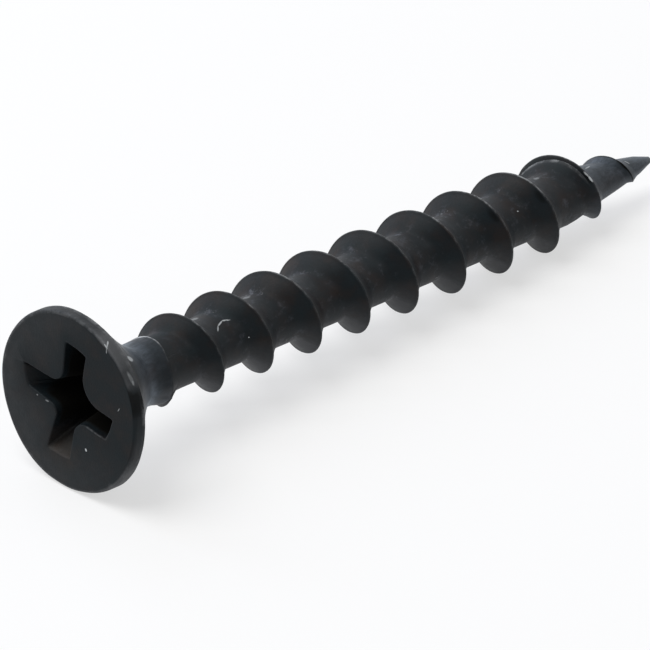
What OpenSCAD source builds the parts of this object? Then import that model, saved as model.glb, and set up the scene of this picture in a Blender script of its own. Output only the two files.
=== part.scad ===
// Coarse-thread drywall screw with a bugle head and a cross recess.
// One piece of steel wire: the head is cold-formed, the thread and the point are rolled.
// It lies as it rests on a bench. The rim of the head and one thread crest touch z = 0,
// the point looks along +X, and the origin is on the bench under the middle of the screw.

/* [Length] */
// From the flat face of the head to the end of the point
screw_len = 34.1; // [30:0.1:45]

/* [Head] */
// Diameter over the rim
head_d = 7.64; // [7.2:0.04:8.6]
// Height of the upright rim, its rounded edge included
rim_h = 0.55; // [0.4:0.05:0.8]
// Rounding between the flat face and the rim
edge_r = 0.15; // [0.1:0.05:0.3]
// Depth below the face at which the trumpet flare has run out into the neck
flare_h = 3.2; // [2.8:0.1:3.3]
// How fast the flare draws in: 1 is a plain cone
flare_curve = 1.3; // [1.2:0.05:2.2]

/* [Cross recess] */
// Reach of two opposite wings at the face, from end to end
wing_span = 4.9; // [4.4:0.1:5.2]
// Width of a wing at the face
wing_w = 1.05; // [0.9:0.05:1.2]
// Depth of the wings below the face
recess_depth = 2.3; // [1.9:0.1:2.5]
// Reach of two opposite wings at the bottom, from end to end
wing_foot = 2.3; // [2:0.1:2.5]
// Width of a wing at the bottom
wing_foot_w = 0.65; // [0.5:0.05:0.8]
// Width across the flats that cut off the corners between the wings at the face
corner_cut = 2.05; // [1.9:0.05:2.3]
// Turn of the recess from the floor line
recess_turn = 8; // [0:1:89]

/* [Neck and core] */
// Diameter of the neck where the flare ends
neck_d = 2.75; // [2.6:0.05:2.9]
// Length over which the neck narrows to the core
neck_run = 2.5; // [1.5:0.1:4]
// Diameter of the core between the crests
core_d = 2.42; // [2.1:0.02:2.6]

/* [Thread] */
// Diameter over the full crests
thread_d = 3.94; // [3.6:0.02:4.4]
// Advance in one turn
pitch = 2.81; // [2.5:0.01:3.1]
// Width of the rounded-off top of a crest
crest_w = 0.1; // [0.06:0.02:0.16]
// Width of the flank on the head side of a crest
back_flank = 0.74; // [0.5:0.02:0.9]
// Width of the flank on the point side of a crest
front_flank = 0.96; // [0.6:0.02:1]
// Hollowness of both flanks: 1 is straight
flank_curve = 1.25; // [1:0.05:2]
// Where the crest begins, measured from the face
thread_start = 3.68; // [3.5:0.02:4]
// Angle round the axis at which it begins, measured from the floor line
start_angle = 232.5; // [0:7.5:352.5]
// Turns that the crest needs to grow to its full height
rise_turns = 1.2; // [0.6:0.1:2]
// How the crest grows: below 1 is fast at first
rise_curve = 0.4; // [0.3:0.05:1]

/* [Point] */
// Length over which the crest draws in towards the tip
crest_taper = 6.1; // [5.5:0.1:8]
// How the crest draws in: 1 is straight
taper_curve = 1.1; // [1:0.05:1.6]
// Length of the cone that the core runs out into
cone_len = 5.2; // [4.8:0.1:7]
// Length of bare cone between the end of the thread and the tip
bare_tip = 1.4; // [0.8:0.1:2]
// Diameter of the blunt end of the point
tip_d = 0.4; // [0.2:0.02:0.5]
// Length of the bevel round that blunt end
tip_bevel = 0.12; // [0.06:0.02:0.2]

/* [Hidden] */

// Facets round one turn: the start angle and the floor line both fall on a corner
turn_n = 48;
head_fn = 72;
head_r = head_d / 2;
thread_r = thread_d / 2;
core_r = core_d / 2;
neck_r = neck_d / 2;
tip_r = tip_d / 2;
end_r = 0.45 * tip_r;
bevel_z = screw_len - tip_bevel;
flank_steps = 3;
edge_steps = 3;
flare_steps = 11;
seam = 0.03;
bury = 0.3;

// Fraction of the way from a to b, held between 0 and 1
function part(z, a, b) = min(1, max(0, (z - a) / (b - a)));

// Radius of the body under the thread at a distance z from the face
function body_r(z) =
    let (cone_z = screw_len - cone_len)
    z < cone_z
        ? neck_r - seam + (core_r - neck_r + seam) * part(z, flare_h, flare_h + neck_run)
        : core_r + (tip_r - core_r) * part(z, cone_z, bevel_z);

// Radius of the crest line where it draws in at the point
function crest_r(z) =
    tip_r + (thread_r - tip_r) * pow(1 - part(z, screw_len - crest_taper, screw_len), taper_curve);

// Height of the crest above the body at a distance z from the face
function crest_h(z) =
    max(0, crest_r(z) - body_r(z))
    * pow(part(z, thread_start, thread_start + rise_turns * pitch), rise_curve);

// How wide the two flanks are there, as a share of their full width
function spread(z) = 0.35 + 0.65 * min(1, crest_h(z) / (thread_r - core_r));

// One thread profile as pairs of place along the axis and share of the crest height,
// from the foot of the flank on the head side to the foot on the point side
profile = concat(
    [for (i = [0 : flank_steps]) let (t = i / flank_steps)
        [-crest_w / 2 - back_flank * (1 - t), pow(t, flank_curve)]],
    [for (i = [0 : flank_steps]) let (t = i / flank_steps)
        [crest_w / 2 + front_flank * t, pow(1 - t, flank_curve)]]);
rows = len(profile);

// The crest ends where the bare tip begins
steps = round((screw_len - bare_tip - thread_start) / pitch * turn_n);

// Corner k of the profile at step s of the helix
function thread_at(s, k) =
    let (c = thread_start + pitch * s / turn_n,
         w = spread(c),
         z = c + profile[k][0] * w,
         r = body_r(z) + crest_h(c) * profile[k][1],
         a = start_angle + 360 * s / turn_n)
    [r * cos(a), r * sin(a), z];

function ring_at(i, r, z) =
    let (a = start_angle + 360 * i / turn_n)
    [r * cos(a), r * sin(a), z];

// Tilt at which the screw lies: it leans over the rim until the first crest touches
floor_crests = [for (k = [-2 : 20])
    let (c = thread_start + pitch * (k + (360 - start_angle) / 360))
    if (c > screw_len / 2 && c < screw_len - bare_tip) c];
lean = min([for (c = floor_crests)
    let (foot = c + crest_w / 2 * spread(c))
    atan((head_r - body_r(foot) - crest_h(c)) / (foot - rim_h))]);
face_height = rim_h * sin(lean) + head_r * cos(lean);
face_r = head_r - edge_r;
middle_x = (screw_len * cos(lean) + (end_r - face_r) * sin(lean)) / 2;

// Head, flare and neck as one turned profile, round from the face to the neck's end
module head_blank() {
    rotate_extrude($fn = head_fn)
        polygon(concat(
            [[0, 0]],
            [for (i = [0 : edge_steps]) let (a = 90 * i / edge_steps)
                [face_r + edge_r * sin(a), edge_r * (1 - cos(a))]],
            [for (i = [0 : flare_steps]) let (t = i / flare_steps)
                [neck_r + (head_r - neck_r) * pow(1 - t, flare_curve),
                 rim_h + (flare_h - rim_h) * t]],
            [[0, flare_h]]));
}

// A wedge with sloping ends and sloping sides, wide at the face and narrow at the bottom
module wing(top_len, foot_len, top_w, foot_w, depth) {
    over = 0.5;
    grow = over / depth;
    top_l = top_len + (top_len - foot_len) * grow;
    top_b = top_w + (top_w - foot_w) * grow;
    intersection() {
        rotate([90, 0, 0])
            linear_extrude(height = top_b + 1, center = true)
                polygon([[-top_l / 2, -over], [top_l / 2, -over],
                         [foot_len / 2, depth], [-foot_len / 2, depth]]);
        rotate([90, 0, 90])
            linear_extrude(height = top_l + 1, center = true)
                polygon([[-top_b / 2, -over], [top_b / 2, -over],
                         [foot_w / 2, depth], [-foot_w / 2, depth]]);
    }
}

// Two crossed wings, the cut-off corners between them and the drilled-looking cone below
module cross_recess() {
    for (turn = [0, 90])
        rotate([0, 0, recess_turn + turn])
            wing(wing_span, wing_foot, wing_w, wing_foot_w, recess_depth);
    rotate([0, 0, recess_turn + 45])
        wing(corner_cut, wing_foot_w * 1.3, corner_cut, wing_foot_w * 1.3, recess_depth - 0.1);
    translate([0, 0, recess_depth - 0.05])
        cylinder(h = 0.3, r1 = wing_foot_w * 0.7, r2 = 0.12, $fn = 24);
}

// Rolled shank: a strip that follows the helix, closed by a buried ring and a bevelled tip
module threaded_shank() {
    z_low = flare_h - bury;
    last = rows - 1;
    strip = [for (s = [0 : steps], k = [0 : last]) thread_at(s, k)];
    low_ring = [for (i = [0 : turn_n - 1]) ring_at(i, neck_r - seam, z_low)];
    tip_ring = [for (i = [0 : turn_n - 1]) ring_at(i + steps, tip_r, bevel_z)];
    end_ring = [for (i = [0 : turn_n - 1]) ring_at(i + steps, end_r, screw_len)];
    low = len(strip);
    tip = low + turn_n;
    end = tip + turn_n;
    flat_strip = [for (s = [0 : steps - 1], k = [0 : last - 1])
        let (a = s * rows + k, b = a + rows)
        each [[a, a + 1, b + 1], [a, b + 1, b]]];
    // From the foot on the point side across the root to the foot one turn on
    root = [for (s = [0 : steps - turn_n - 1])
        let (a = s * rows + last, b = a + rows,
             c = (s + turn_n) * rows, d = c + rows)
        each [[a, c, d], [a, d, b]]];
    // From the buried ring to the first turn
    below = [for (i = [0 : turn_n - 2])
        let (a = i * rows)
        each [[low + i, a, a + rows], [low + i, a + rows, low + i + 1]]];
    first_edge = concat([low], [for (k = [0 : last]) k], [turn_n * rows, (turn_n - 1) * rows]);
    below_last = [for (i = [0 : len(first_edge) - 2])
        [low + turn_n - 1, first_edge[i + 1], first_edge[i]]];
    // From the last turn to the tip
    above = [for (i = [1 : turn_n - 1])
        let (a = (steps - turn_n + i) * rows + last)
        each [[a, tip + i, tip + (i + 1) % turn_n], [a, tip + (i + 1) % turn_n, a + rows]]];
    last_edge = concat([tip + 1, tip],
        [for (k = [last : -1 : 0]) steps * rows + k],
        [(steps - turn_n) * rows + last]);
    above_first = [for (i = [0 : len(last_edge) - 2])
        [(steps - turn_n + 1) * rows + last, last_edge[i + 1], last_edge[i]]];
    bevel = [for (i = [0 : turn_n - 1])
        let (a = tip + i, b = tip + (i + 1) % turn_n)
        each [[a, a + turn_n, b + turn_n], [a, b + turn_n, b]]];
    polyhedron(
        points = concat(strip, low_ring, tip_ring, end_ring),
        faces = concat(flat_strip, root, below, below_last, above, above_first, bevel,
            [[for (i = [0 : turn_n - 1]) low + i]],
            [[for (i = [turn_n - 1 : -1 : 0]) end + i]]),
        convexity = 12);
}

// Places a screw that stands on its face at z = 0 as it lies on the bench
module at_rest() {
    translate([-middle_x, 0, face_height])
        rotate([0, 90 + lean, 0])
            children();
}

module screw() {
    color([0.13, 0.14, 0.15])
        at_rest()
            difference() {
                union() {
                    head_blank();
                    threaded_shank();
                }
                cross_recess();
            }
}

screw();
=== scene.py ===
import bpy
import bmesh
from math import atan2, cos, floor, hypot, pi, radians, sin
from mathutils import Matrix, Vector, noise


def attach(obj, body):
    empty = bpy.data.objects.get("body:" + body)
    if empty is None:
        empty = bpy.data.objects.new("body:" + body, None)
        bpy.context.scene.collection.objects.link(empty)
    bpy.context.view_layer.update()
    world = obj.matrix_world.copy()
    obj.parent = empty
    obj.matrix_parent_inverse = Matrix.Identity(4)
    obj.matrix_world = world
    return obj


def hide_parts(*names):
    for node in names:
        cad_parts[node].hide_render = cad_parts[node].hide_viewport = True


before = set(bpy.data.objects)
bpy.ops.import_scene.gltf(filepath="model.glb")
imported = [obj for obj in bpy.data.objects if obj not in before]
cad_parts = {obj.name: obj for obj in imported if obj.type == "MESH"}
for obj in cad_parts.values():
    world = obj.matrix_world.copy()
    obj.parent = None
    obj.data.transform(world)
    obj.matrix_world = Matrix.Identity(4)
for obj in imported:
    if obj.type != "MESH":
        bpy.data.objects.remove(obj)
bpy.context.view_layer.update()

# THE SCREW
# One piece of steel wire. The head is cold-formed with its cross recess in one blow, the thread
# and the point are rolled between flat dies, and the whole is phosphated black and oiled.
# It is modelled upright, in millimetres, with the face at z = 0 and the point at z = 34.1.
screw_len = 34.1
head_r, rim_h, edge_r = 3.82, 0.55, 0.15
flare_h, flare_curve, waist_r = 3.4, 1.26, 1.345
neck_r, neck_end, core_r = 1.37, 4.45, 1.215
cut_z = neck_end + 0.02
thread_r, pitch = 1.972, 2.8155
back_flank, back_curve = 0.753, 1.17
front_flank, front_curve = 0.974, 1.27
crest_round = 0.07
thread_start, start_angle = 3.562, 225.0
taper_from, taper_to, taper_curve = 28.03, 35.0, 1.182
cone_from, bare_from, pinch_from, blunt_from = 28.5, 33.2, 33.6, 34.0
thread_end, tip_r, end_r = 32.7, 0.165, 0.03
around = 144


# How far x has come from a to b, held between nothing and one
def share(x, a, b):
    return min(1.0, max(0.0, (x - a) / (b - a)))


# The same way, but starting and ending gently
def ease(t):
    return t * t * (3 - 2 * t)


# Eases in from nothing at a to one at b, and out again from c to d
def band(x, a, b, c, d):
    return ease(share(x, a, b)) * (1 - ease(share(x, c, d)))


# A value read off between pairs of place and value, level before the first and after the last
def between(x, pairs):
    for (x0, v0), (x1, v1) in zip(pairs, pairs[1:]):
        if x < x1:
            return v0 + (v1 - v0) * share(x, x0, x1)
    return pairs[-1][1]


# The core under the thread: it steps down where the neck ends, and draws in to the point, a little
# more round z = 30.5 and faster in the last millimetre
def body_r(z):
    if z < neck_end:
        return neck_r
    r = core_r + 0.05 * (1 - share(z, neck_end, neck_end + 1.2)) - 0.81 * share(z, cone_from, bare_from)
    r -= 0.03 * ease(1 - share(abs(z - 30.5), 0.2, 1.0))
    return r - 0.12 * share(z, bare_from, pinch_from) - 0.1 * share(z, pinch_from, blunt_from)


# Radius of the crest: it grows over the first turn and draws in towards the point. The dies fill
# unevenly, by a few hundredths of a millimetre
def crest_r(c):
    if c < taper_from:
        uneven = between(c, (
            (5.0, 0.0), (5.8, -0.02), (7.1, -0.03), (8.6, -0.01), (13, 0.005), (17, 0.03), (24, 0.035),
            (25.5, 0.0)))
        return (thread_r - 0.706 + 0.665 * share(c, 3.2, 6.4) ** 0.5
                + 0.041 * share(c, 7, 12) + uneven)
    pinched = 0.055 * share(c, 28.2, 29.4) - 0.03 * share(c, 30, 31.2)
    drawn_in = (1 - share(c, taper_from, taper_to)) ** taper_curve
    return tip_r - 0.12 + (thread_r - tip_r + 0.12) * drawn_in - pinched


# The blank slips a little between the dies: the crest lies late at both ends of the thread, by up to
# 0.34 mm at the neck and 0.24 mm at the point, and wanders by less than a tenth in between
def drift(c):
    late = 0.22 * (1 - ease(share(c, 4.2, 11))) + 0.12 * (1 - ease(share(c, 4.3, 5.4)))
    late += between(c, (
        (5.0, 0.0), (5.8, -0.06), (6.4, -0.09), (7.1, -0.04), (8.6, 0.03), (10, 0.02), (11.4, -0.04),
        (12.8, 0.01), (14.2, -0.06), (15.6, -0.01), (21.2, -0.015), (22.7, -0.05), (24, 0.005),
        (25.5, -0.03), (26.6, 0.0)))
    return late - 0.03 * share(c, 9, 12) + 0.24 * ease(share(c, 26.2, 30)) + 0.03 * share(c, 27.6, 28.6)


# Height of the crest above the core
def crest_h(c):
    return max(0.0, crest_r(c) - body_r(c + drift(c)))


# Width of the flanks as a share of their full width: narrow where the crest is low, and a little
# narrow on the turn after that
def spread(z):
    with_height = 0.35 + 0.65 * min(1.0, crest_h(z) / (thread_r - core_r))
    return with_height * between(z, ((5.0, 1.0), (6.0, 0.93), (7.4, 0.92), (9.0, 1.0)))


# Height of a flank above the core, as a share of the crest, at a place u in front of the crest line
def flank(u):
    if u < 0:
        return max(0.0, 1 + u / back_flank) ** back_curve
    return max(0.0, 1 - u / front_flank) ** front_curve


# Rolled metal has folded over along the back flank of the last full crest: it ends in a thin lip,
# with a seam between the lip and the crest
def lap(c):
    return band(c, 27.6, 27.95, 28.85, 29.0)


# One pitch of the thread in section, from the foot behind a crest to the foot behind the next one
section = []
for i in range(9):
    u = -back_flank + (back_flank - crest_round) * i / 9
    section.append((u, flank(u)))
for i in range(-3, 4):
    u = crest_round * i / 3
    low = flank(crest_round if u > 0 else -crest_round)
    section.append((u, low + (1 - low) * (1 - abs(i / 3) ** 1.7)))
for i in range(1, 10):
    u = crest_round + (front_flank - crest_round) * i / 9
    section.append((u, flank(u)))
root_to = pitch - back_flank
for i in range(1, 4):
    section.append((front_flank + (root_to - front_flank) * i / 3, 0.0))

# It is drawn by extruding a single corner, and rolled along the helix with a Screw modifier
full_h = thread_r - core_r
bpy.ops.object.select_all(action="DESELECT")
bpy.ops.mesh.primitive_plane_add(size=1, location=(0, 0, 0))
screw = bpy.context.object
screw.name = "drywall_screw"
bpy.ops.object.mode_set(mode="EDIT")
bpy.ops.mesh.select_all(action="SELECT")
bpy.ops.mesh.merge(type="CENTER")
bpy.ops.transform.translate(value=(core_r, 0, thread_start + section[0][0]))
for (u0, g0), (u1, g1) in zip(section, section[1:]):
    bpy.ops.mesh.extrude_vertices_move(
        TRANSFORM_OT_translate={"value": ((g1 - g0) * full_h, 0, u1 - u0)})
bpy.ops.object.mode_set(mode="OBJECT")
steps = round((thread_end - thread_start) / pitch * around)
roll = screw.modifiers.new("thread roll", "SCREW")
roll.axis = "Z"
roll.angle = 2 * pi * steps / around
roll.screw_offset = pitch * steps / around
roll.iterations = 1
roll.steps = roll.render_steps = steps
roll.use_merge_vertices = False
bpy.ops.object.modifier_apply(modifier=roll.name)
last_crest = thread_start + pitch * steps / around


# Crest that a place on the even thread belongs to, and how far it lies in front of it
def crest_of(p):
    turn = (atan2(p.y, p.x) / (2 * pi) + 1e-6) % 1.0
    base = thread_start + pitch * turn
    crest = base + pitch * floor((p.z - base + back_flank) / pitch + 1e-4)
    return crest, p.z - crest


# The last turn has no root in front of it: the bare cone of the point starts there
bpy.ops.object.mode_set(mode="EDIT")
bpy.ops.mesh.select_all(action="SELECT")
bpy.ops.mesh.remove_doubles(threshold=0.001)
bpy.ops.mesh.select_mode(type="FACE")
bpy.ops.mesh.select_all(action="DESELECT")
bm = bmesh.from_edit_mesh(screw.data)
for f in bm.faces:
    crest, u = crest_of(f.calc_center_median())
    f.select = u > front_flank and crest > last_crest - pitch
bmesh.update_edit_mesh(screw.data)
bpy.ops.mesh.delete(type="FACE")
bpy.ops.object.mode_set(mode="OBJECT")


# The dies begin in one plane, where the neck ends. A flank that crosses it is cut off square there:
# this gives the radius of that cut, and that of its foot
def cut_at_neck(a):
    crest = thread_start + pitch * ((a - radians(start_angle)) / (2 * pi) % 1.0)
    u = (cut_z - crest - drift(crest)) / spread(crest)
    root = body_r(cut_z)
    cut = root + crest_h(crest) * flank(u)
    return (cut, min(neck_r, cut)) if -back_flank < u < front_flank else (root, root)


# Tables that go round the screw are by side, in degrees from the bench: for one who faces the head,
# 90 is left, 180 the top and 270 right. This one is how worn the crests are, with painted highlight
# where they catch the light, most along the top
crest_wear_and_highlight = (
    (120, 0.35), (155, 0.5), (175, 2.9), (185, 3.3), (200, 3.1), (212, 1.8), (232, 0.5), (255, 0.4),
    (275, 0.9), (300, 0.9), (320, 0.4))
# Dry film and painted sheen on the flank towards the point, near the crest and all over it, and on the
# flank towards the head, all over it and at its foot. The sheen is painted light: paler towards the top
# and on the side towards the bench, where the bench's light reflects
front_film_and_sheen_near_crest = (
    (90, 0), (130, 1.6), (150, 1.5), (170, 0.95), (185, 0.62), (210, 0.46), (240, 0.12), (262, 0.03),
    (360, 0))
front_film_and_bench_sheen = ((258, 0.06), (275, 0.2), (300, 0.34), (335, 0.38), (360, 0.06))
back_film_and_bench_sheen = ((256, 0.0), (280, 0.32), (295, 0.48), (310, 1.15), (335, 1.4), (360, 0.0))
back_film_and_sheen_at_foot = (
    (110, 0.0), (130, 0.22), (150, 0.15), (175, 0.05), (195, 0.1), (222, 0.16), (240, 0.0))
# The lip of the lap is the eighth corner of the section, and its seam the ninth
lip_u, seam_u = section[7][0], section[8][0]
lip_forward = ((28.0, -0.03), (28.2, 0.09), (28.65, 0.09), (28.85, 0.04))

# The even thread is drawn in and out: it grows from the neck, and runs out at the point.
# Its finish wears along the crests, and stays thick in the roots. Painted light and shade go in
# with it: highlight along the crests, paler film and roots towards the top and the bench, and dark
# oil as painted shade on the shaded side
finish_names = ("edge_wear_and_highlight", "root_bloom_and_sheen", "dust_and_sheen", "drawn", "inside", "rusty")
for name in finish_names:
    screw.data.attributes.new(name, "FLOAT", "POINT")
edge_wear_and_highlight, root_bloom_and_sheen, dust_and_sheen, inside = (
    screw.data.attributes[name].data for name in ("edge_wear_and_highlight", "root_bloom_and_sheen", "dust_and_sheen", "inside"))
for v in screw.data.vertices:
    p = v.co.copy()
    crest, u = crest_of(p)
    g = max(0.0, (hypot(p.x, p.y) - core_r) / full_h)
    lies = crest + drift(crest)
    if u > front_flank + 1e-4:
        ahead = crest + pitch
        z0 = lies + front_flank * spread(crest)
        z1 = ahead + drift(ahead) - back_flank * spread(ahead)
        z = z0 + (z1 - z0) * (u - front_flank) / (root_to - front_flank)
    else:
        z = lies + u * spread(crest)
    on_lip, in_seam = abs(u - lip_u) < 0.02, abs(u - seam_u) < 0.02
    r = body_r(z) + crest_h(crest) * g + lap(crest) * (0.03 * on_lip - 0.05 * in_seam)
    z += lap(crest) * (on_lip + 0.4 * in_seam) * between(crest, lip_forward)
    r -= 0.012 * g * (0.5 + 0.5 * noise.noise(p * 1.7))
    a = atan2(p.y, p.x) + radians(start_angle)
    if z < cut_z:
        cut, foot = cut_at_neck(a)
        r = max(foot, min(r, cut))
        z = cut_z
    side = a * 180 / pi % 360
    top_side = band(side, 130, 150, 165, 190)
    low_side = band(side, 270, 310, 330, 360)
    z += 0.07 * low_side * share(-u, 0.3, 0.7) * share(crest, 8, 13) * (1 - share(crest, 27, 28))
    v.co = Vector((r * cos(a), r * sin(a), z))
    at_crest = ease(share(g, 0.94, 0.99)) * share(crest_h(crest), 0.02, 0.1)
    # Crest wear and painted highlight: brightest where the crests face the light along the top
    wear_and_highlight_by_side = between(side, crest_wear_and_highlight) * (1 + 0.5 * share(crest, 16, 24)) + 0.9 * share(crest, 26.6, 28.2)
    edge_wear_and_highlight[v.index].value = (
        (0.35 + 0.65 * (u > 0.01)) * at_crest * wear_and_highlight_by_side + 1.2 * lap(crest) * on_lip)
    in_root = 1 - ease(share(g, 0.0, 0.55))
    # Pale crystals in the roots, painted paler again on the top and bench sides as painted sheen
    root_bloom_and_sheen[v.index].value = in_root * (0.7 + top_side + low_side) * (0.3 + 0.7 * share(crest, 6.3, 7.5))
    last_turn = share(crest, 30.1, 30.5)
    # Film here is dry film and painted sheen, paler towards the top and the bench
    if u > 0.04:
        dust_and_sheen_share = between(side, front_film_and_sheen_near_crest) * (1 - share(u, 0.2, 2.1)) + between(side, front_film_and_bench_sheen)
        # Painted shade as dark oil on the right of the flank, and along the last turn
        oil_and_painted_shade = 0.28 * band(side, 242, 256, 262, 280) * share(u, 0.5, 1.0)
        oil_and_painted_shade += 0.6 * last_turn * ease(share(g, 0.4, 0.9)) * share(side, 195, 225)
    else:
        dust_and_sheen_share = between(side, back_film_and_bench_sheen) + between(side, back_film_and_sheen_at_foot) * (1 - share(u, -0.72, -0.5))
        dust_and_sheen_share += 0.17 * band(side, 90, 130, 190, 220) * share(u, -0.6, -0.1)
        # Painted shade as dark oil on the shaded side, along the first crest and along the last turn
        oil_and_painted_shade = 0.35 * band(side, 195, 222, 243, 268) * ease(share(u, -0.7, -0.5))
        oil_and_painted_shade += 0.5 * share(crest, 15, 22) * band(side, 192, 208, 228, 245) * ease(share(u, -0.4, -0.15))
        oil_and_painted_shade += 0.4 * (1 - ease(share(crest, 5.2, 6.0))) * (1 - ease(share(side, 275, 300)))
        oil_and_painted_shade = oil_and_painted_shade * (u < -0.05) + 0.9 * last_turn * ease(share(g, 0.75, 0.95))
    dust_and_sheen[v.index].value = dust_and_sheen_share
    inside[v.index].value = oil_and_painted_shade


# Takes the edge loops of one open end, for the next extrusion
def take_open_edges(low, high):
    bpy.ops.mesh.select_mode(type="EDGE")
    bpy.ops.mesh.select_all(action="DESELECT")
    mesh = bmesh.from_edit_mesh(screw.data)
    for e in mesh.edges:
        z = (e.verts[0].co.z + e.verts[1].co.z) / 2
        e.select = e.is_boundary and low < z < high
    bmesh.update_edit_mesh(screw.data)


# Draws the ragged end of the thread out to one ring, at a radius given for each angle
def extrude_to_first_ring(radius_at, z):
    bpy.ops.mesh.extrude_region_move()
    mesh = bmesh.from_edit_mesh(screw.data)
    for v in mesh.verts:
        if v.select:
            a = atan2(v.co.y, v.co.x)
            r = radius_at(a)
            v.co = Vector((r * cos(a), r * sin(a), z))
    bmesh.update_edit_mesh(screw.data)
    bpy.ops.mesh.remove_doubles(threshold=0.0004)


# The next ring: extruded along the axis and sized about it
def extrude_ring(ring, r, z):
    bpy.ops.mesh.extrude_region_move(TRANSFORM_OT_translate={"value": (0, 0, z - ring[1])})
    bpy.ops.transform.resize(value=(r / ring[0], r / ring[0], 1), center_override=(0, 0, z))
    return r, z


# The point: a plain cone from the last turn, pinched off short and blunt
bpy.ops.object.mode_set(mode="EDIT")
bpy.ops.mesh.select_all(action="SELECT")
bpy.ops.mesh.remove_doubles(threshold=0.0004)
take_open_edges(screw_len / 2, screw_len)
extrude_to_first_ring(lambda a: body_r(bare_from), bare_from)
ring = body_r(bare_from), bare_from
for r, z in ((body_r(pinch_from), pinch_from), (tip_r, blunt_from), (0.155, 34.05), (0.12, 34.08),
             (0.07, 34.095), (end_r, screw_len)):
    ring = extrude_ring(ring, r, z)
bpy.ops.mesh.merge(type="CENTER")

# The neck, the trumpet flare, the rim and the flat face, ring after ring
take_open_edges(0, screw_len / 2)
extrude_to_first_ring(lambda a: cut_at_neck(a)[1], cut_z)
extrude_to_first_ring(lambda a: neck_r, neck_end)
ring = neck_r, neck_end
for r, z in ((neck_r, neck_end - 0.03), (neck_r + 0.01, 4.36), (neck_r + 0.005, 4.32),
             (neck_r - 0.008, 4.24), (1.345, 4.0), (1.335, 3.7)):
    ring = extrude_ring(ring, r, z)
flare_rings = 22
for i in range(flare_rings + 1):
    t = i / flare_rings
    ring = extrude_ring(ring, waist_r + (head_r - waist_r) * t ** flare_curve,
                        flare_h + (rim_h - flare_h) * t)
ring = extrude_ring(ring, head_r, (rim_h + edge_r) / 2)
for i in range(7):
    a = radians(15) * i
    ring = extrude_ring(ring, head_r - edge_r * (1 - cos(a)), edge_r * (1 - sin(a)))
for r in (head_r - edge_r - 0.02, head_r - edge_r - 0.1, 3.3):
    ring = extrude_ring(ring, r, 0)

# The cross recess: four wings that narrow to their foot. The corners between them are rounded off,
# the one towards the bench and the bright side most, and the punch has left the ends of the wings
# a little uneven: each pair gives how far an end corner lies outwards and sideways of its true place
bottom_wing, left_wing, top_wing = 8, 98, 188
recess_turn = radians(bottom_wing)
wing_reach, wing_half, wing_foot, foot_half = 2.45, 0.525, 1.15, 0.33
corner_rounds = (0.4, 0.65, 1.1, 0.65)
end_after = ((0.12, 0.2), (0.2, -0.08), (0.0, 0.0), (-0.2, 0.0))
end_before = ((0.0, 0.0), (-0.18, -0.08), (0.08, 0.12), (0.0, 0.0))
mouth_round, end_round, recess_depth = 0.05, 0.1, 2.3


# The outline of the recess at a depth z, drawn out all round by grow
def recess_outline(z, grow=0.0):
    t = share(z, 0, recess_depth)
    reach = wing_reach + (wing_foot - wing_reach) * t + grow
    wide = wing_half + (foot_half - wing_half) * t + grow
    ring = []
    for k in range(4):
        fillet = min(corner_rounds[k] - grow, 0.92 * (reach - wide)) * (1 - 0.45 * t)
        halves = []
        for (out, aside), wing in ((end_after[k], k), (end_before[(k + 1) % 4], (k + 1) % 4)):
            far = reach + out * (1 - t)
            middle = reach + 0.03 + (end_after[wing][0] + end_before[wing][0]) / 2 * (1 - t)
            wide_end = wide + aside * (1 - t)
            half = [Vector((middle + (far - middle) * s, wide_end * s)) for s in (0.0, 0.35, 0.7)]
            for i in range(4):
                a = radians(30) * i
                half.append(Vector((far - end_round * (1 - cos(a)), wide_end - end_round * (1 - sin(a)))))
            for i in range(1, 5):
                half.append(half[6].lerp(Vector((wide + fillet, wide)), i / 5))
            for i in range(7):
                a = radians(270 - 45 * i / 6)
                half.append(Vector((wide + fillet, wide + fillet)) + fillet * Vector((cos(a), sin(a))))
            halves.append(half)
        a = recess_turn + radians(90) * k
        for p in halves[0] + [Vector((p.y, p.x)) for p in reversed(halves[1][1:-1])]:
            ring.append(Vector((p.x * cos(a) - p.y * sin(a), p.x * sin(a) + p.y * cos(a), z)))
    return ring


mouth = recess_outline(0, mouth_round + 0.03)
bpy.ops.mesh.select_all(action="DESELECT")
bpy.ops.mesh.primitive_circle_add(vertices=len(mouth), radius=2.0, fill_type="NOTHING")
bm = bmesh.from_edit_mesh(screw.data)
taken = sorted((v for v in bm.verts if v.select), key=lambda v: atan2(v.co.y, v.co.x) % (2 * pi))
for v, p in zip(taken, mouth):
    v.co = p
bmesh.update_edit_mesh(screw.data)
bpy.ops.mesh.select_mode(type="EDGE")
bm = bmesh.from_edit_mesh(screw.data)
for e in bm.edges:
    e.select = len(e.link_faces) < 2
bmesh.update_edit_mesh(screw.data)
bpy.ops.mesh.bridge_edge_loops()
take_open_edges(-0.1, 0.1)
before = mouth
levels = []
for i in range(5):
    a = radians(90) * i / 4
    levels.append((mouth_round * (1 - cos(a)), mouth_round * (1 - sin(a))))
levels += [(mouth_round + 0.04, 0), (0.4, 0), (0.8, 0), (1.3, 0), (1.8, 0), (2.24, 0), (2.3, -0.05)]
for z, grow in levels:
    outline = recess_outline(z, grow)
    bpy.ops.mesh.extrude_region_move()
    bm = bmesh.from_edit_mesh(screw.data)
    for v in bm.verts:
        if v.select:
            k = min(range(len(before)), key=lambda j: (before[j] - v.co).length_squared)
            v.co = outline[k]
    bmesh.update_edit_mesh(screw.data)
    before = outline
bpy.ops.mesh.extrude_region_move(TRANSFORM_OT_translate={"value": (0, 0, 0.12)})
bpy.ops.transform.resize(value=(0.45, 0.45, 1), center_override=(0, 0, 2.42))
bpy.ops.mesh.extrude_region_move(TRANSFORM_OT_translate={"value": (0, 0, 0.1)})
bpy.ops.mesh.merge(type="CENTER")
bpy.ops.mesh.select_all(action="SELECT")
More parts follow.
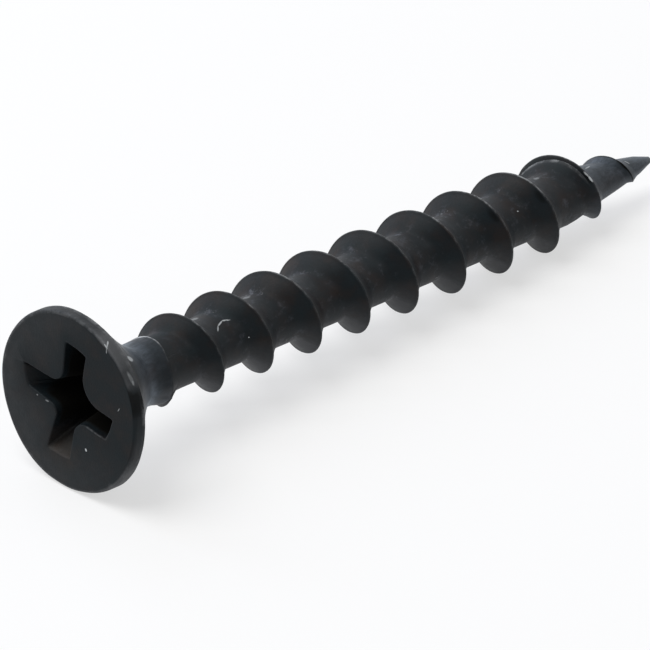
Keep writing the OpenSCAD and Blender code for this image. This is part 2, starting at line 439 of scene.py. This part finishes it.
bpy.ops.mesh.normals_make_consistent(inside=False)
bpy.ops.object.mode_set(mode="OBJECT")
bpy.ops.object.shade_smooth_by_angle(angle=radians(38))

# The thread swells out of the end of the neck: the neck is drawn out to the radius of the cut there
swell_from = 3.9
for v in screw.data.vertices:
    if swell_from < v.co.z < neck_end + 0.025:
        r, cut = hypot(v.co.x, v.co.y), cut_at_neck(atan2(v.co.y, v.co.x))[0]
        swell = max(0.0, cut - r) * 0.93 * ease(share(v.co.z, swell_from, neck_end - 0.01))
        v.co += Vector((v.co.x, v.co.y, 0)) * (swell / r)

# The head isn't quite in line with the shank, so the neck stands a little off to one side
off_side = radians(323)
for v in screw.data.vertices:
    off = 0.05 * share(v.co.z, 1.5, 3.2) * (1 - share(v.co.z, 4.4, 5.2))
    v.co += off * Vector((cos(off_side), sin(off_side), 0))


# The side of the screw that a place lies on, in degrees
def side_of(p):
    return atan2(p.y, p.x) * 180 / pi % 360


# The rim came out of its die a few hundredths of a millimetre out of round
rim_swell = (
    (0, 0.0), (8, 0.0), (16, 0.035), (30, 0.05), (45, 0.03), (60, 0.01), (75, 0.024), (90, 0.044),
    (105, 0.04), (120, 0.019), (150, 0.013), (165, 0.0), (182, -0.035), (197, -0.04), (215, 0.0),
    (250, 0.0), (270, -0.042), (285, -0.033), (300, 0.013), (315, 0.034), (330, 0.009),
    (345, -0.016), (355, 0.0))
for v in screw.data.vertices:
    r = hypot(v.co.x, v.co.y)
    if v.co.z < 2.0 and r > 2.6:
        swell = between(side_of(v.co), rim_swell)
        v.co += Vector((v.co.x, v.co.y, 0)) * (swell * share(r, 2.8, 3.7) / r)

# How bare the wire is, by side: on the cone of the point, at its tip, on the neck and on the flare.
# It is partly painted light: paler and shinier towards the top and the bench, where it catches the
# lamp and reflects the bench, and darker on the right
cone_bare_and_sheen = (
    (90, 1.0), (150, 1.8), (180, 1.85), (205, 1.3), (235, 0.95), (255, 0.7), (285, 1.1), (360, 1.0))
tip_bare_and_sheen = ((150, 0.5), (180, 0.8), (200, 1.1), (255, 0.8))
neck_bare_and_sheen = (
    (0, 1.0), (150, 1.35), (172, 1.3), (195, 0.9), (210, 0.85), (225, 0.65), (250, 0.3), (265, 0.32),
    (288, 1.1), (310, 1.4), (335, 1.35), (360, 1.0))
flare_bare_and_sheen = (
    (0, 1.0), (150, 1.3), (172, 1.2), (195, 0.9), (225, 0.5), (250, 0.4), (285, 1.2), (335, 1.15),
    (360, 1.0))
# How worn it is, with painted highlight: a bright line along the edge where the neck ends, streaks
# down the flare, and lines round the rim
neck_end_wear_and_highlight = (
    (112, 0.0), (125, 1.0), (165, 1.0), (180, 0.55), (200, 0.25), (215, 0.15), (240, 0.0))
flare_wear_and_highlight = (
    (190, 0.0), (200, 1.0), (215, 1.0), (223, 0.0), (246, 0.0), (254, 0.7), (262, 0.7), (275, 0.0))
rim_wear_and_highlight = (
    (0, 0.4), (140, 0.7), (165, 0.5), (175, 0.9), (205, 1.1), (220, 0.7), (232, 0.2), (245, 0.1),
    (260, 0.8), (285, 0.6), (310, 0.4))
# How much dry film there is on the flare, on the rim and on the flat face. It carries painted light:
# sheen where the flare and rim catch the lamp or reflect the bench, and a paler left and lower face
flare_film_and_sheen = ((180, 0.0), (196, 1.0), (214, 1.4), (226, 0.25), (240, 0.2), (256, 1.25), (280, 0.1))
rim_film_and_sheen = (
    (0, 0.3), (140, 0.2), (165, 0.2), (176, 0.33), (188, 0.2), (198, 0.5), (208, 1.2), (214, 1.3),
    (224, 0.95), (230, 0.5), (237, 0.7), (243, 0.08), (262, 0.06), (290, 0.36), (302, 1.05),
    (315, 1.05), (345, 0.3))
face_film_and_sheen = (
    (0, 0.9), (20, 1.0), (95, 1.0), (125, 0.75), (160, 0.75), (205, 0.0), (290, 0.0), (345, 0.75),
    (360, 0.9))


# One within the first angle of a wing's direction, and nothing past the second
def near_wing(a, wing, inner, outer):
    return ease(1 - share(abs((a - wing + 180) % 360 - 180), inner, outer))


# The finish also wears round the rim, at the mouth of the recess and along the end of the neck, with
# painted highlight along these edges. The neck is drawn wire: smoother than the rolled thread, so its
# finish is thin and it shines. Painted shade goes in as dark oil: deeper down the recess, on the
# right of the neck and in a band on the right of the rim
edge_wear_and_highlight, root_bloom_and_sheen, dust_and_sheen, drawn, inside, rusty = (
    screw.data.attributes[name].data for name in finish_names)
for v in screw.data.vertices:
    p = v.co
    r = hypot(p.x, p.y)
    a = side_of(p)
    if p.z > neck_end + 0.01:
        bare = 0.37 * ease(share(p.z, 28.9, 29.7)) * between(a, cone_bare_and_sheen)
        bare += 0.42 * ease(share(p.z, 31.9, bare_from)) * between(a, tip_bare_and_sheen)
        drawn[v.index].value = bare * (1 - inside[v.index].value)
        # Less crest wear and painted highlight on the right of the point
        if p.z > 31:
            edge_wear_and_highlight[v.index].value *= 1 - ease(share(a, 195, 215))
        if p.z > 33:
            edge_wear_and_highlight[v.index].value = 0.4 * ease(share(p.z, pinch_from, blunt_from))
            root_bloom_and_sheen[v.index].value = 1.0
        continue
    wear_and_highlight = dust_and_sheen_share = bare = brown = 0.0
    oil_and_painted_shade = 0.5
    skin_r = waist_r + (head_r - waist_r) * (1 - share(p.z, rim_h, flare_h)) ** flare_curve
    thin_coat = 1 - 0.75 * ease(share(p.z, 3.3, 4.1))
    if p.z > 3.6:
        # The neck
        line_z = p.z + 0.2 * (1 - share(a, 148, 172))
        # Painted highlight: a bright line along the end of the neck, brightest on the upper left
        wear_and_highlight = 4.0 * between(a, neck_end_wear_and_highlight) * ease(share(line_z, 4.37, 4.42))
        bare = between(a, neck_bare_and_sheen) * thin_coat * (1 - 0.6 * share(p.z, 4.35, 4.45))
        # Painted shade on the right of the neck, and paler film as painted reflection of the bench on its
        # underside
        oil_and_painted_shade = 0.4 * band(a, 235, 250, 270, 288) * share(p.z, 3.7, 4.2)
        dust_and_sheen_share = 1.1 * band(a, 272, 300, 335, 360) * share(p.z, 3.6, 3.9)
    elif p.z > rim_h + 0.12 and r > skin_r - 0.15:
        # The flare, but not the walls of the recess inside it
        bare = between(a, flare_bare_and_sheen) * thin_coat * (1 - ease(share(r, 1.7, 3.3)))
        # Painted highlight in streaks down the flare, where it catches the light
        wear_and_highlight = 0.8 * between(a, flare_wear_and_highlight) * share(r, 2.0, 2.5)
        dust_and_sheen_share = between(a, flare_film_and_sheen) * ease(share(r, 1.55, 2.3))
        oil_and_painted_shade = 0.0
    elif p.z < rim_h + 0.12 and r > 3.4:
        # The rim: its upright side, and the rounded edges on either hand of it
        on_side = ease(share(r, 3.68, 3.78))
        # Painted shade: a dark oily band on the right of the rim, where it faces away from the light
        painted_shade_band = 0.9 * band(a, 220 + 17 * share(p.z, 0.03, 0.12), 245, 254, 273)
        # Painted highlight along the edges of the rim
        flare_edge = between(a, rim_wear_and_highlight) * ease(1 - share(abs(p.z - rim_h), 0.0, 0.1))
        face_edge = 0.25 * (1 - painted_shade_band) * ease(share(r, 3.66, 3.7)) * (1 - share(p.z, 0.08, 0.2))
        face_edge *= 1 - ease(share(a, 214, 222)) + ease(share(a, 285, 300))
        wear_and_highlight = max(flare_edge, face_edge)
        dust_and_sheen_share = on_side * between(a, rim_film_and_sheen) + (1 - on_side) * 0.27 * between(a, face_film_and_sheen)
        oil_and_painted_shade = max(0.5, painted_shade_band) if on_side > 0 else 0.5
    elif r < 2.75:
        # The recess: black with oil, darker with depth as painted shade, rusty brown at the mouth of the
        # bottom wing, and a painted highlight along the mouth of the right wing
        # Painted highlight along the mouth of the recess, most at the right wing
        right_wing = band(a, 286, 290, 300, 312) * ease(share(r, 1.1, 1.4))
        if p.z > 0.001:
            wear_and_highlight = 0.35 * ease(1 - share(p.z, 0.02, 0.09)) * max(right_wing, 0.06)
        wing_end = max(near_wing(a, left_wing, 10, 22), 0.5 * near_wing(a, top_wing, 10, 20))
        wing_end *= ease(share(r, 1.4, 1.9))
        brown = near_wing(a, bottom_wing, 12, 26) * ease(share(r, 1.2, 1.9))
        brown *= band(p.z, -0.06, 0.06, 0.7, 1.6)
        # Painted shade: darker with depth, starting deeper at the ends of the left and top wings
        oil_and_painted_shade = 0.5 + 0.5 * ease(share(p.z, 0.03 + 0.1 * wing_end, 0.4 + 1.2 * wing_end))
        oil_and_painted_shade *= 1 - 0.8 * brown
        dust_and_sheen_share = 0.27 * brown
    else:
        # The flat face: dry film and painted light, paler on its left and lower part
        dust_and_sheen_share = 0.27 * between(a, face_film_and_sheen) * share(r, 2.0, 3.3)
    edge_wear_and_highlight[v.index].value = wear_and_highlight
    root_bloom_and_sheen[v.index].value = 0.0
    dust_and_sheen[v.index].value = dust_and_sheen_share
    drawn[v.index].value = bare
    inside[v.index].value = oil_and_painted_shade
    rusty[v.index].value = brown

# The dies weren't quite square to the wire, so the neck ends a little aslant, and the first turn is
# pressed a little flatter on one side
neck_aslant = (
    (110, 0.0), (140, 0.1), (190, 0.14), (208, 0.1), (228, 0.0), (285, 0.0), (310, -0.1), (340, -0.1),
    (359, 0.0))
pressed_side = 318
for v in screw.data.vertices:
    side = side_of(v.co)
    aslant = between(side, neck_aslant)
    v.co.z += aslant * band(v.co.z, swell_from, 4.4, 4.45, 5.1 if aslant > 0 else 6.8)
    r = hypot(v.co.x, v.co.y)
    pressed = (0.08 - 0.03 * share(v.co.z, 4.4, 4.7)) * share(r, 1.36, 1.6)
    pressed *= ease(1 - share(abs(side - pressed_side), 8, 34)) * band(v.co.z, swell_from, 4.4, 4.8, 5.8)
    v.co -= Vector((v.co.x, v.co.y, 0)) * (pressed / max(r, 0.01))

# Laid down: rim and one crest on the bench, the origin on the bench under the middle
lean = min(atan2(head_r - v.co.x, v.co.z - rim_h) for v in screw.data.vertices if v.co.z > screw_len / 2)
face_height = rim_h * sin(lean) + head_r * cos(lean)
middle_x = (screw_len * cos(lean) + (end_r - head_r + edge_r) * sin(lean)) / 2
lay = Matrix.Translation((-middle_x, 0, face_height)) @ Matrix.Rotation(radians(90) + lean, 4, "Y")
screw.data.transform(Matrix.Scale(0.001, 4) @ lay)
screw.data.update()
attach(screw, "root")
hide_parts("screw")


# A colour written as it looks on a screen, in the linear values that the renderer takes
def linear(hex_code):
    channels = [int(hex_code[i:i + 2], 16) / 255 for i in (1, 3, 5)]
    return [c / 12.92 if c <= 0.04045 else ((c + 0.055) / 1.055) ** 2.4 for c in channels] + [1.0]


# Adds a node to a tree with its settings, and with each input either set or linked
def add_node(tree, kind, inputs=None, **settings):
    made = tree.nodes.new(kind)
    for name, value in settings.items():
        setattr(made, name, value)
    for name, value in (inputs or {}).items():
        if isinstance(value, bpy.types.NodeSocket):
            tree.links.new(value, made.inputs[name])
        else:
            made.inputs[name].default_value = value
    return made


# Phosphated steel: grown as fine dark crystals in a bath, then oiled. It gives a satin, almost
# black grey with a fine grain, and bare steel or dry crystals show paler along the worn edges. The
# attributes it reads also carry painted highlight, sheen and shade
black = bpy.data.materials.new("phosphated_steel_oiled")
black.use_nodes = True
tree = black.node_tree
tree.nodes.clear()
upright = (Matrix.Scale(0.001, 4) @ lay).inverted()
place = add_node(tree, "ShaderNodeTexCoord")
mm = add_node(tree, "ShaderNodeMapping", {
    "Vector": place.outputs["Object"], "Scale": (1000, 1000, 1000),
    "Rotation": lay.inverted().to_euler(), "Location": upright.to_translation()}).outputs["Vector"]
# Crystals are a few hundredths of a millimetre across, drawn here at a tenth so that they show.
# The coat varies in tint over about a millimetre, and in thickness over less than half of that
grain = add_node(tree, "ShaderNodeTexNoise", {"Vector": mm, "Scale": 11.0, "Detail": 3.0, "Roughness": 0.6})
blotch = add_node(tree, "ShaderNodeTexNoise", {"Vector": mm, "Scale": 0.9, "Detail": 4.0, "Roughness": 0.55})
patch = add_node(tree, "ShaderNodeTexNoise", {"Vector": mm, "Scale": 2.4, "Detail": 5.0, "Roughness": 0.7})
tone = add_node(tree, "ShaderNodeValToRGB", {"Fac": blotch.outputs["Fac"]})
tone.color_ramp.elements[0].position = 0.34
tone.color_ramp.elements[0].color = linear("#1c1411")
tone.color_ramp.elements[1].position = 0.66
tone.color_ramp.elements[1].color = linear("#151c1f")
tone.color_ramp.elements.new(0.5).color = linear("#121416")
speckle = add_node(tree, "ShaderNodeMix", {
    0: grain.outputs["Fac"], 6: (0.75, 0.75, 0.75, 1), 7: (1.25, 1.25, 1.25, 1)}, data_type="RGBA")
dark = add_node(tree, "ShaderNodeMix", {
    0: 1.0, 6: tone.outputs["Color"], 7: speckle.outputs[2]}, data_type="RGBA", blend_type="MULTIPLY")
# Inside the recess oil lies thick and black. The same black is painted shade, deep in the recess,
# on the right of the rim and on the shaded side of the thread
oil_and_shade_share = add_node(tree, "ShaderNodeAttribute", attribute_name="inside")
thick_oil_and_shade = add_node(tree, "ShaderNodeMapRange", {
    "Value": oil_and_shade_share.outputs["Fac"], "From Min": 0.7, "From Max": 1.0})
oil_and_painted_shade = add_node(tree, "ShaderNodeMix", {
    0: thick_oil_and_shade.outputs["Result"], 6: linear("#030b10"), 7: linear("#171614")}, data_type="RGBA")
oiled_and_shaded = add_node(tree, "ShaderNodeMix", {
    0: oil_and_shade_share.outputs["Fac"], 6: dark.outputs[2], 7: oil_and_painted_shade.outputs[2]}, data_type="RGBA")
# Dry and dusty where the oil has run off or been wiped off, and paler as painted sheen where the
# surface faces the light or the bench
on_dust_and_sheen = add_node(tree, "ShaderNodeAttribute", attribute_name="dust_and_sheen")
with_rust = add_node(tree, "ShaderNodeAttribute", attribute_name="rusty")
dust = add_node(tree, "ShaderNodeMix", {
    0: with_rust.outputs["Fac"], 6: linear("#505153"), 7: linear("#585049")}, data_type="RGBA")
thin_film = add_node(tree, "ShaderNodeMapRange", {
    "Value": patch.outputs["Fac"], "From Min": 0.3, "From Max": 0.7, "To Min": 0.75, "To Max": 1.25})
film_there = add_node(tree, "ShaderNodeMath", {
    0: on_dust_and_sheen.outputs["Fac"], 1: thin_film.outputs["Result"]}, operation="MULTIPLY", use_clamp=True)
dusted_and_sheened = add_node(tree, "ShaderNodeMix", {
    0: film_there.outputs["Value"], 6: oiled_and_shaded.outputs[2], 7: dust.outputs[2]}, data_type="RGBA")
# Drawn wire under a thin coat on the neck and at the point: streaks along the axis, a fifth of a
# millimetre wide, because the real ones are too fine to show. How much shows is partly painted light,
# more towards the top and the bench
on_wire_and_sheen = add_node(tree, "ShaderNodeAttribute", attribute_name="drawn")
stretched = add_node(tree, "ShaderNodeVectorMath", {0: mm, 1: (1.0, 1.0, 0.4)}, operation="MULTIPLY")
streaks = add_node(tree, "ShaderNodeTexNoise", {
    "Vector": stretched.outputs["Vector"], "Scale": 4.5, "Detail": 5.0, "Roughness": 0.65})
coat_gone = add_node(tree, "ShaderNodeMapRange", {
    "Value": streaks.outputs["Fac"], "From Min": 0.35, "From Max": 0.65, "To Min": 0.4, "To Max": 1.1})
wire = add_node(tree, "ShaderNodeMath", {
    0: on_wire_and_sheen.outputs["Fac"], 1: coat_gone.outputs["Result"]}, operation="MULTIPLY")
steel = add_node(tree, "ShaderNodeMix", {
    0: wire.outputs["Value"], 6: dusted_and_sheened.outputs[2], 7: linear("#596069")}, data_type="RGBA")
# Dry crystals left pale in the roots, in small patches, with a few crumbs 0.15 mm across; patches
# and crumbs are painted stronger on the top and bench sides as painted sheen
in_roots = add_node(tree, "ShaderNodeAttribute", attribute_name="root_bloom_and_sheen")
pale = add_node(tree, "ShaderNodeMapRange", {
    "Value": patch.outputs["Fac"], "From Min": 0.55, "From Max": 0.75, "To Max": 0.5})
pale_in_roots = add_node(tree, "ShaderNodeMath", {
    0: pale.outputs["Result"], 1: in_roots.outputs["Fac"]}, operation="MULTIPLY")
bloomed = add_node(tree, "ShaderNodeMix", {
    0: pale_in_roots.outputs["Value"], 6: steel.outputs[2], 7: linear("#62646c")}, data_type="RGBA")
crumbs = add_node(tree, "ShaderNodeTexNoise", {"Vector": mm, "Scale": 7.0, "Detail": 2.0, "Roughness": 0.5})
crumb = add_node(tree, "ShaderNodeMapRange", {
    "Value": crumbs.outputs["Fac"], "From Min": 0.66, "From Max": 0.72, "To Max": 0.4})
low_or_top = add_node(tree, "ShaderNodeMapRange", {
    "Value": in_roots.outputs["Fac"], "From Min": 0.8, "From Max": 1.6})
crumb_in_roots = add_node(tree, "ShaderNodeMath", {
    0: crumb.outputs["Result"], 1: low_or_top.outputs["Result"]}, operation="MULTIPLY")
crumbed = add_node(tree, "ShaderNodeMix", {
    0: crumb_in_roots.outputs["Value"], 6: bloomed.outputs[2], 7: linear("#a0a3a6")}, data_type="RGBA")
# Worn through along the edges, in short broken stretches of about half a millimetre, with painted
# highlight where the edges catch the light
on_worn_and_lit_edges = add_node(tree, "ShaderNodeAttribute", attribute_name="edge_wear_and_highlight")
rubbed = add_node(tree, "ShaderNodeTexNoise", {"Vector": mm, "Scale": 2.3, "Detail": 4.0, "Roughness": 0.65})
broken = add_node(tree, "ShaderNodeMapRange", {
    "Value": rubbed.outputs["Fac"], "From Min": 0.45, "From Max": 0.62, "To Min": 0.12, "To Max": 0.75})
wear_and_highlight = add_node(tree, "ShaderNodeMath", {
    0: broken.outputs["Result"], 1: on_worn_and_lit_edges.outputs["Fac"]}, operation="MULTIPLY")
colour = add_node(tree, "ShaderNodeMix", {
    0: wear_and_highlight.outputs["Value"], 6: crumbed.outputs[2], 7: linear("#909294")}, data_type="RGBA")
# Small scars down to bare metal, in millimetres on the upright screw: where each begins and ends, how
# wide it is and how bare. A stroke is a ball of space flattened across its own line
scratches = (
    # Crossed strokes over the edge of the rim
    ((-3.37, -1.81, 0.27), (-3.21, -1.98, 0.05), 0.04, 0.8),
    ((-3.20, -1.99, 0.04), (-2.96, -2.01, 0.0), 0.03, 0.6),
    ((-3.30, -1.82, 0.04), (-3.17, -2.02, 0.03), 0.03, 0.7),
    # A dull rub on the side of the rim, with two nicks in it
    ((-2.40, -2.97, 0.26), (-1.98, -3.27, 0.33), 0.1, 0.2),
    ((-2.36, -3.00, 0.25), (-2.26, -3.08, 0.28), 0.04, 0.3),
    ((-2.10, -3.19, 0.33), (-1.98, -3.27, 0.30), 0.05, 0.4),
    # A bright scrape down the flare
    ((-2.45, -2.15, 1.08), (-1.80, -1.43, 2.07), 0.14, 1.4),
    # Specks on the flat face, two of them at the mouth of the recess
    ((1.68, -1.09, 0.0), (1.71, -1.11, 0.0), 0.06, 1.0),
    ((-0.86, -2.86, 0.0), (-0.70, -2.77, 0.0), 0.022, 0.5),
    ((0.356, 1.728, 0.0), (0.36, 1.75, 0.0), 0.04, 0.35),
    ((0.409, 1.10, 0.0), (0.409, 1.26, 0.0), 0.04, 0.3),
    # A bowed scratch between the first two full turns
    ((-0.950, -0.755, 7.561), (-1.060, -0.593, 7.723), 0.04, 0.7),
    ((-1.060, -0.593, 7.723), (-1.124, -0.460, 8.084), 0.04, 0.8),
    ((-1.124, -0.460, 8.084), (-1.116, -0.490, 8.277), 0.04, 0.8),
    ((-1.116, -0.490, 8.277), (-1.109, -0.579, 8.416), 0.04, 0.8),
    # Specks and pale patches in the roots
    ((-0.44, -1.25, 8.84), (-0.43, -1.25, 8.88), 0.03, 1.0),
    ((-0.82, -0.90, 24.95), (-0.81, -0.90, 24.99), 0.03, 1.0),
    ((-1.18, 0.30, 7.20), (-1.17, 0.30, 7.35), 0.14, 0.3),
    ((-1.18, 0.295, 10.16), (-1.17, 0.295, 10.30), 0.14, 0.25),
    ((-1.19, 0.195, 27.20), (-1.18, 0.195, 27.30), 0.12, 0.25),
    # The bright end of the lap on the last full crest
    ((-1.39, -0.91, 28.94), (-1.215, -1.107, 29.04), 0.045, 0.7),
    ((-1.215, -1.107, 29.04), (-1.02, -1.264, 29.13), 0.055, 1.0),
    # A scratch along the top of the point, and specks on it
    ((-0.961, -0.155, 29.88), (-0.887, 0.024, 30.40), 0.05, 0.5),
    ((-0.887, 0.024, 30.40), (-0.789, 0.091, 31.23), 0.05, 0.6),
    ((-0.53, -0.151, 32.35), (-0.428, -0.304, 32.50), 0.03, 0.7),
    ((0.246, -0.814, 30.61), (0.25, -0.80, 30.65), 0.03, 0.7),
    ((0.268, -0.733, 31.02), (0.27, -0.73, 31.06), 0.03, 0.6))
# The most worn edges are bare too, in broken stretches: painted highlights along the top of the
# crests and the end of the neck
most_worn_and_lit = add_node(tree, "ShaderNodeMapRange", {
    "Value": on_worn_and_lit_edges.outputs["Fac"], "From Min": 2.2, "From Max": 3.2, "To Max": 1.3})
scars = add_node(tree, "ShaderNodeMath", {
    0: most_worn_and_lit.outputs["Result"], 1: broken.outputs["Result"]}, operation="MULTIPLY").outputs["Value"]
for start, end, width, bare in scratches:
    start, end = Vector(start), Vector(end)
    line = (end - start).normalized()
    flatten = width / ((end - start).length / 2 + width) - 1
    off = add_node(tree, "ShaderNodeVectorMath", {0: mm, 1: (start + end) / 2}, operation="SUBTRACT")
    pull = add_node(tree, "ShaderNodeVectorMath", {
        0: off.outputs["Vector"], 1: line * flatten}, operation="DOT_PRODUCT")
    flat = add_node(tree, "ShaderNodeVectorMath", {
        0: line, 1: pull.outputs["Value"], 2: off.outputs["Vector"]}, operation="MULTIPLY_ADD")
    away = add_node(tree, "ShaderNodeVectorMath", {0: flat.outputs["Vector"]}, operation="LENGTH")
    stroke = add_node(tree, "ShaderNodeMapRange", {
        "Value": away.outputs["Value"], "From Min": width * 0.6, "From Max": width,
        "To Min": bare, "To Max": 0.0})
    scars = add_node(tree, "ShaderNodeMath", {
        0: scars, 1: stroke.outputs["Result"]}, operation="MAXIMUM").outputs["Value"]
marked = add_node(tree, "ShaderNodeMix", {
    0: scars, 6: colour.outputs[2], 7: linear("#c6cacc")}, data_type="RGBA")
# Thin-coated wire is part metal and smoother. Thick old oil gives back next to no light, so it is
# drawn as a rough black metal; where the oil is painted shade, this black is painted shade too
metal_share = add_node(tree, "ShaderNodeMath", {
    0: on_wire_and_sheen.outputs["Fac"], 1: 0.35, 2: thick_oil_and_shade.outputs["Result"]}, operation="MULTIPLY_ADD")
base_rough = add_node(tree, "ShaderNodeMapRange", {
    "Value": blotch.outputs["Fac"], "From Min": 0.3, "From Max": 0.7, "To Min": 0.48, "To Max": 0.6})
wire_rough = add_node(tree, "ShaderNodeMix", {
    0: on_wire_and_sheen.outputs["Fac"], 2: base_rough.outputs["Result"], 3: 0.42})
rough = add_node(tree, "ShaderNodeMix", {0: thick_oil_and_shade.outputs["Result"], 2: wire_rough.outputs[0], 3: 0.95})
relief = add_node(tree, "ShaderNodeBump", {
    "Height": grain.outputs["Fac"], "Strength": 0.4, "Distance": 0.00002})
shader = add_node(tree, "ShaderNodeBsdfPrincipled", {
    "Base Color": marked.outputs[2], "Metallic": metal_share.outputs["Value"],
    "Roughness": rough.outputs[0], "Normal": relief.outputs["Normal"], "IOR": 1.5,
    "Specular IOR Level": 0.15, "Specular Tint": (0.88, 0.96, 1.0, 1.0)})
add_node(tree, "ShaderNodeOutputMaterial", {"Surface": shader.outputs["BSDF"]})
screw.data.materials.append(black)

# THE BENCH
# A plain pale sheet under the screw, as in a product picture. It isn't part of the screw.
# It shows white where nothing shades it and keeps the soft shadow of the screw.
bpy.ops.object.select_all(action="DESELECT")
bpy.ops.mesh.primitive_grid_add(x_subdivisions=4, y_subdivisions=4, size=4.0, location=(0, 0, 0))
bench = bpy.context.object
bench.name = "bench_sheet"


# One for light on its way to the camera, straight or off something shiny or clear, and else nothing
def seen_at_all(tree):
    path = add_node(tree, "ShaderNodeLightPath")
    seen_or_shiny = add_node(tree, "ShaderNodeMath", {
        0: path.outputs["Is Camera Ray"], 1: path.outputs["Is Glossy Ray"]}, operation="MAXIMUM")
    return add_node(tree, "ShaderNodeMath", {
        0: seen_or_shiny.outputs["Value"], 1: path.outputs["Is Transmission Ray"]},
        operation="MAXIMUM").outputs["Value"]


paper = bpy.data.materials.new("matt_white_paper")
paper.use_nodes = True
tree = paper.node_tree
tree.nodes.clear()
seen = seen_at_all(tree)
lit_share = add_node(tree, "ShaderNodeMath", {0: seen, 1: 0.6}, operation="MULTIPLY")
sheet_colour = add_node(tree, "ShaderNodeMix", {
    0: seen, 6: linear("#e0e0e0"), 7: linear("#ffffff")}, data_type="RGBA")
matt = add_node(tree, "ShaderNodeBsdfDiffuse", {"Color": sheet_colour.outputs[2], "Roughness": 0.0})
glow = add_node(tree, "ShaderNodeEmission", {"Color": linear("#ffffff"), "Strength": 1.0})
sheet = add_node(tree, "ShaderNodeMixShader", {
    0: lit_share.outputs["Value"], 1: matt.outputs["BSDF"], 2: glow.outputs["Emission"]})
add_node(tree, "ShaderNodeOutputMaterial", {"Surface": sheet.outputs["Shader"]})
bench.data.materials.append(paper)

# THE LIGHT
# One large soft lamp above the head's side, a smaller cool one behind, and an even pale room, as
# in a small product studio. None of it is part of the screw.
for name, place_at, size, power, tint in (
        ("soft_lamp", (-0.22, 0.14, 0.54), 0.4, 2.3, "#ffffff"),
        ("back_lamp", (0.05, 0.42, 0.28), 0.4, 1.0, "#e6edff")):
    bpy.ops.object.light_add(type="AREA", location=place_at)
    lamp = bpy.context.object
    lamp.name = name
    lamp.data.shape = "SQUARE"
    lamp.data.size = size
    lamp.data.energy = power
    lamp.data.color = linear(tint)[:3]
    lamp.rotation_euler = (-lamp.location).to_track_quat("-Z", "Y").to_euler()
room = bpy.data.worlds.new("pale_room")
bpy.context.scene.world = room
room.use_nodes = True
tree = room.node_tree
tree.nodes.clear()
room_light = add_node(tree, "ShaderNodeMapRange", {
    "Value": seen_at_all(tree), "To Min": 0.3, "To Max": 1.0})
glow = add_node(tree, "ShaderNodeBackground", {
    "Color": linear("#ffffff"), "Strength": room_light.outputs["Result"]})
add_node(tree, "ShaderNodeOutputWorld", {"Surface": glow.outputs["Background"]})

# THE CAMERA
# Level, half a right angle round from the head and looking down at about 30 degrees. It stands
# about 340 mm from the screw with a long lens, so the head is only a little larger than the rest.
bpy.ops.object.camera_add(location=(-0.21352072, -0.20697161, 0.17114022))
camera = bpy.context.object
camera.name = "camera"
ahead = Vector((0.61934453, 0.60711557, -0.49781828))
right = Vector((0.70023038, -0.71391677, 0.00050996))
turned = Matrix((right, right.cross(ahead), -ahead)).transposed()
camera.rotation_euler = turned.to_euler()
camera.data.sensor_width = 36.0
camera.data.lens = 463.449
camera.data.clip_start = 0.01
bpy.context.scene.camera = camera
bpy.context.scene.view_settings.view_transform = "Standard"
